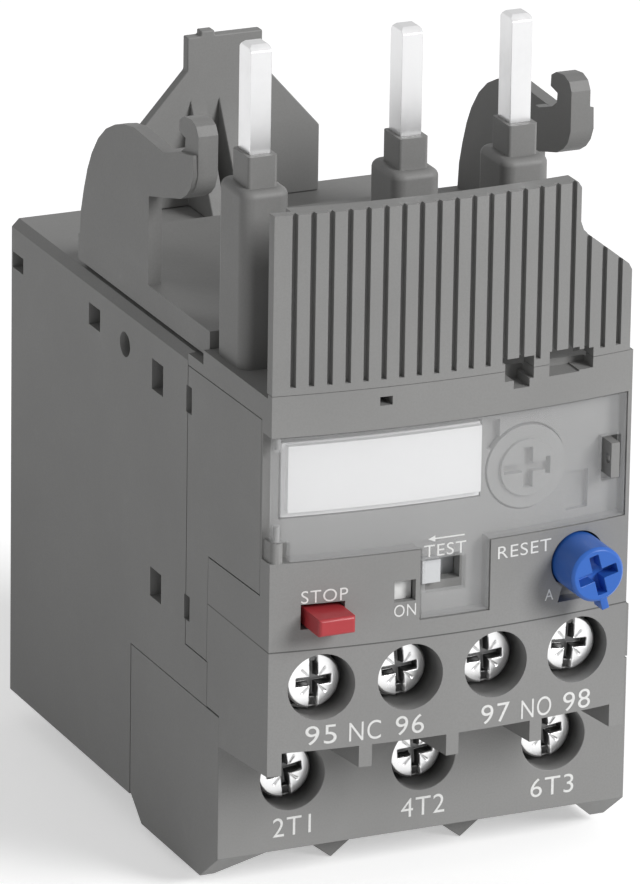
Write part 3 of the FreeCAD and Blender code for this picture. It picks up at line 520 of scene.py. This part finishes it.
def screwPiece(name, angle, kind):
    # rows of rings down the axis, from the middle of the head to the tip, then turned by the angle
    low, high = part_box(name)
    cx, cz = (low.x + high.x) / 2, (low.z + high.z) / 2
    headR, headHigh = (high.x - low.x) / 2, kind["headHigh"]
    a = np.linspace(0, 2 * np.pi, head["steps"], endpoint=False)[None, :]
    spread = np.linspace(head["innerRing"], 1.0, head["rings"]) ** head["ringCrowding"]
    r = (spread * (headR - head["rimWidth"]))[:, None]
    u, v = r * np.cos(a), r * np.sin(a)
    face, slotEnd = headFace(u, v, r, headR)
    shaft = threadRows(a, high.y - low.y - headHigh, kind)
    grid = np.concatenate([np.stack([u, face, v], -1), headRim(a, slotEnd, headR, kind), shaft])
    turn = math.radians(angle)
    x, z = grid[..., 0].copy(), grid[..., 2].copy()
    grid[..., 0] = cx + x * math.cos(turn) - z * math.sin(turn)
    grid[..., 1] = low.y + grid[..., 1]
    grid[..., 2] = cz + x * math.sin(turn) + z * math.cos(turn)
    mesh = meshFromGrid(name + "_turned", grid, finish["screw"])
    # painted shade: darker the deeper a point of the head lies below the crown
    points = coordinates(mesh)
    out = np.hypot(points[:, 0] - cx, points[:, 2] - cz)
    depth = points[:, 1] - low.y
    below = depth - head["crown"] * (out / headR) ** head["crownPower"]
    shade = np.clip(below / grime["fullDepth"], 0, 1)
    onFace = (out < headR - grime["cleanRim"]) & (depth < headHigh * grime["headShare"])
    sunk = mesh.attributes.new("sunk", "FLOAT", "POINT")
    sunk.data.foreach_set("value", np.where(onFace, shade, 0.0))
    obj = standIn(mesh, "_turned", name)
    obj.modifiers.new("edges", "WEIGHTED_NORMAL").keep_sharp = True


for family, kind in screws.items():
    for number, angle in kind["angles"].items():
        screwPiece(family + number, angle, kind)
print("screws turned")


prints = {
    "lift": 0.02 * mm, "thick": 0.03 * mm,
    # word: middle x, middle z, width, height in mm
    "onBow": {"STOP": (-16.95, 36.05, 4.75, 1.3), "ON": (-8.6, 33.6, 2.3, 1.25),
              "RESET": (4.3, 38.2, 5.95, 1.3), "A": (7.2, 32.9, 0.95, 1.15),
              "95": (-17.1, 21.5, 3.2, 2.0), "NC": (-12.55, 21.45, 3.3, 2.0),
              "96": (-7.85, 21.5, 3.0, 2.0), "97": (1.45, 21.35, 3.15, 2.0),
              "NO": (6.05, 21.2, 3.4, 2.0), "98": (10.7, 21.15, 3.15, 2.0)},
    "onWindow": {"TEST": (-4.45, 39.45, 4.5, 1.25)},
    "onPlate": {"2T1": (-14.4, 6.8, 4.15, 2.0), "4T2": (0.0, 6.8, 4.8, 2.0), "6T3": (14.4, 6.8, 4.8, 2.0)}}
letters = {"extrude": 0.01, "thin": -0.004, "spacing": 1.08, "resolution": 6}
arrow = {"from": -6.3 * mm, "to": -2.4 * mm, "z": 40.7 * mm,
         "head": 0.75 * mm, "headHalf": 0.32 * mm, "half": 0.07 * mm}


def placeOnFace(mesh, name, body):
    # a print's mesh becomes a piece on the given body
    mesh.name = name
    mesh.materials.clear()
    mesh.materials.append(finish["print"])
    obj = bpy.data.objects.new(name, mesh)
    scene.collection.objects.link(obj)
    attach(obj, body)


def letterMesh(word, width, height):
    # flat letters of one word, centred; z runs from -1 to 1 through the print's thickness
    curve = bpy.data.curves.new("print_" + word, "FONT")
    curve.body = word
    curve.align_x = "CENTER"
    curve.align_y = "CENTER"
    curve.extrude = letters["extrude"]
    curve.offset = letters["thin"]
    curve.space_character = letters["spacing"]
    curve.resolution_u = letters["resolution"]
    temp = bpy.data.objects.new("print_temp", curve)
    scene.collection.objects.link(temp)
    bpy.context.view_layer.update()
    drawn = temp.evaluated_get(bpy.context.evaluated_depsgraph_get())
    mesh = bpy.data.meshes.new_from_object(drawn)
    bpy.data.objects.remove(temp)
    points = coordinates(mesh)
    middle = (points.max(0) + points.min(0)) / 2
    span = points.max(0) - points.min(0)
    return mesh, (points - middle) * np.array([width / span[0], height / span[1], 2 / span[2]])


def printWord(word, where, body, onBow):
    # letters laid on the bow y(x) or on the flat plate, half of their thickness to each side of the lift
    x, z, width, height = (size * mm for size in where)
    mesh, points = letterMesh(word, width, height)
    px = points[:, 0] + x
    base = bowDepth(px) if onBow else plateY
    depth = base - prints["lift"] * 0.5 - points[:, 2] * prints["thick"] * 0.5
    placed = np.stack([px, depth, points[:, 1] + z], -1)
    mesh.vertices.foreach_set("co", placed.ravel())
    mesh.update()
    placeOnFace(mesh, "print_" + word, body)


for word, where in prints["onBow"].items():
    printWord(word, where, "housing", True)
for word, where in prints["onWindow"].items():
    printWord(word, where, "window_cover", True)
for word, where in prints["onPlate"].items():
    printWord(word, where, "housing", False)


def printArrow():
    # thin arrow to the left that lies on the bow of the window
    x0, x1, half, barb = arrow["from"], arrow["to"], arrow["half"], arrow["headHalf"]
    neck = x0 + arrow["head"]
    outline = np.array([(x0, 0.0), (neck, barb), (neck, half), (x1, half),
                        (x1, -half), (neck, -half), (neck, -barb)])
    x, z = outline[:, 0], outline[:, 1] + arrow["z"]
    base = bowDepth(x) - prints["lift"]
    layers = [np.stack([x, base - depth, z], -1) for depth in (0.0, prints["thick"])]
    count = len(outline)
    sides = [(i, (i + 1) % count, (i + 1) % count + count, i + count) for i in range(count)]
    faces = sides + [tuple(range(count))[::-1], tuple(range(count, 2 * count))]
    mesh = bpy.data.meshes.new("print_arrow")
    mesh.from_pydata(np.concatenate(layers).tolist(), [], faces)
    outward(mesh)
    placeOnFace(mesh, "print_arrow", "window_cover")


printArrow()
print("markings printed")


stage = {"floorSize": 6.0, "floorColor": (0.9, 0.9, 0.9, 1), "floorWorn": (0.88, 0.88, 0.88, 1),
         "floorGlow": 0.45, "floorRough": 0.8, "ambient": 0.36, "sunPower": 2.6, "sunSpread": 24.0,
         "sunFrom": (0.5, -0.75, 0.5)}


def makeFloor():
    half = stage["floorSize"] / 2
    z = cadBox[0][2]
    corners = [(-half, -half, z), (half, -half, z), (half, half, z), (-half, half, z)]
    mesh = bpy.data.meshes.new("floor")
    mesh.from_pydata(corners, [], [(0, 1, 2, 3)])
    f = Finish("floor")
    grain = f.noise(18.0, 3.0)
    glow = stage["floorGlow"]
    f.set(Base_Color=f.blend(grain * 0.3, stage["floorColor"], stage["floorWorn"]),
          Roughness=stage["floorRough"],
          Emission_Color=f.blend(f.backdropSeen(), (0, 0, 0, 1), (glow, glow, glow, 1)),
          Emission_Strength=1.0)
    mesh.materials.append(f.material)
    obj = bpy.data.objects.new("floor", mesh)
    scene.collection.objects.link(obj)


def makeWorld():
    world = bpy.data.worlds.new("studio")
    scene.world = world
    sky = NodeTree(world)
    strength = stage["ambient"] + sky.backdropSeen() * (1.0 - stage["ambient"])
    sky.add("OutputWorld", Surface=sky.add("Background", Strength=strength))


def makeSun():
    data = bpy.data.lights.new("softLight", "SUN")
    data.energy = stage["sunPower"]
    data.angle = math.radians(stage["sunSpread"])
    obj = bpy.data.objects.new("softLight", data)
    obj.rotation_euler = Vector(stage["sunFrom"]).to_track_quat("Z", "Y").to_euler()
    scene.collection.objects.link(obj)


view = {"azimuth": -24.523, "elevation": 19.531, "roll": 0.915, "distance": 0.89112,
        "target": (-0.007417, -0.00885, 0.04323), "lens": 363.8, "sensor": 36, "near": 0.01, "far": 20}


def makeCamera():
    a, e, r = (math.radians(view[k]) for k in ("azimuth", "elevation", "roll"))
    back = Vector((math.sin(a) * math.cos(e), -math.cos(a) * math.cos(e), math.sin(e)))
    right = Vector((math.cos(a), math.sin(a), 0))
    up = back.cross(right)
    rolledRight = right * math.cos(r) + up * math.sin(r)
    rolledUp = up * math.cos(r) - right * math.sin(r)
    data = bpy.data.cameras.new("camera")
    data.lens = view["lens"]
    data.sensor_width = view["sensor"]
    data.clip_start = view["near"]
    data.clip_end = view["far"]
    obj = bpy.data.objects.new("camera", data)
    place = Matrix((rolledRight, rolledUp, back)).transposed().to_4x4()
    place.translation = Vector(view["target"]) + back * view["distance"]
    obj.matrix_world = place
    scene.collection.objects.link(obj)
    scene.camera = obj


makeFloor()
makeWorld()
makeSun()
makeCamera()
print("stage set")
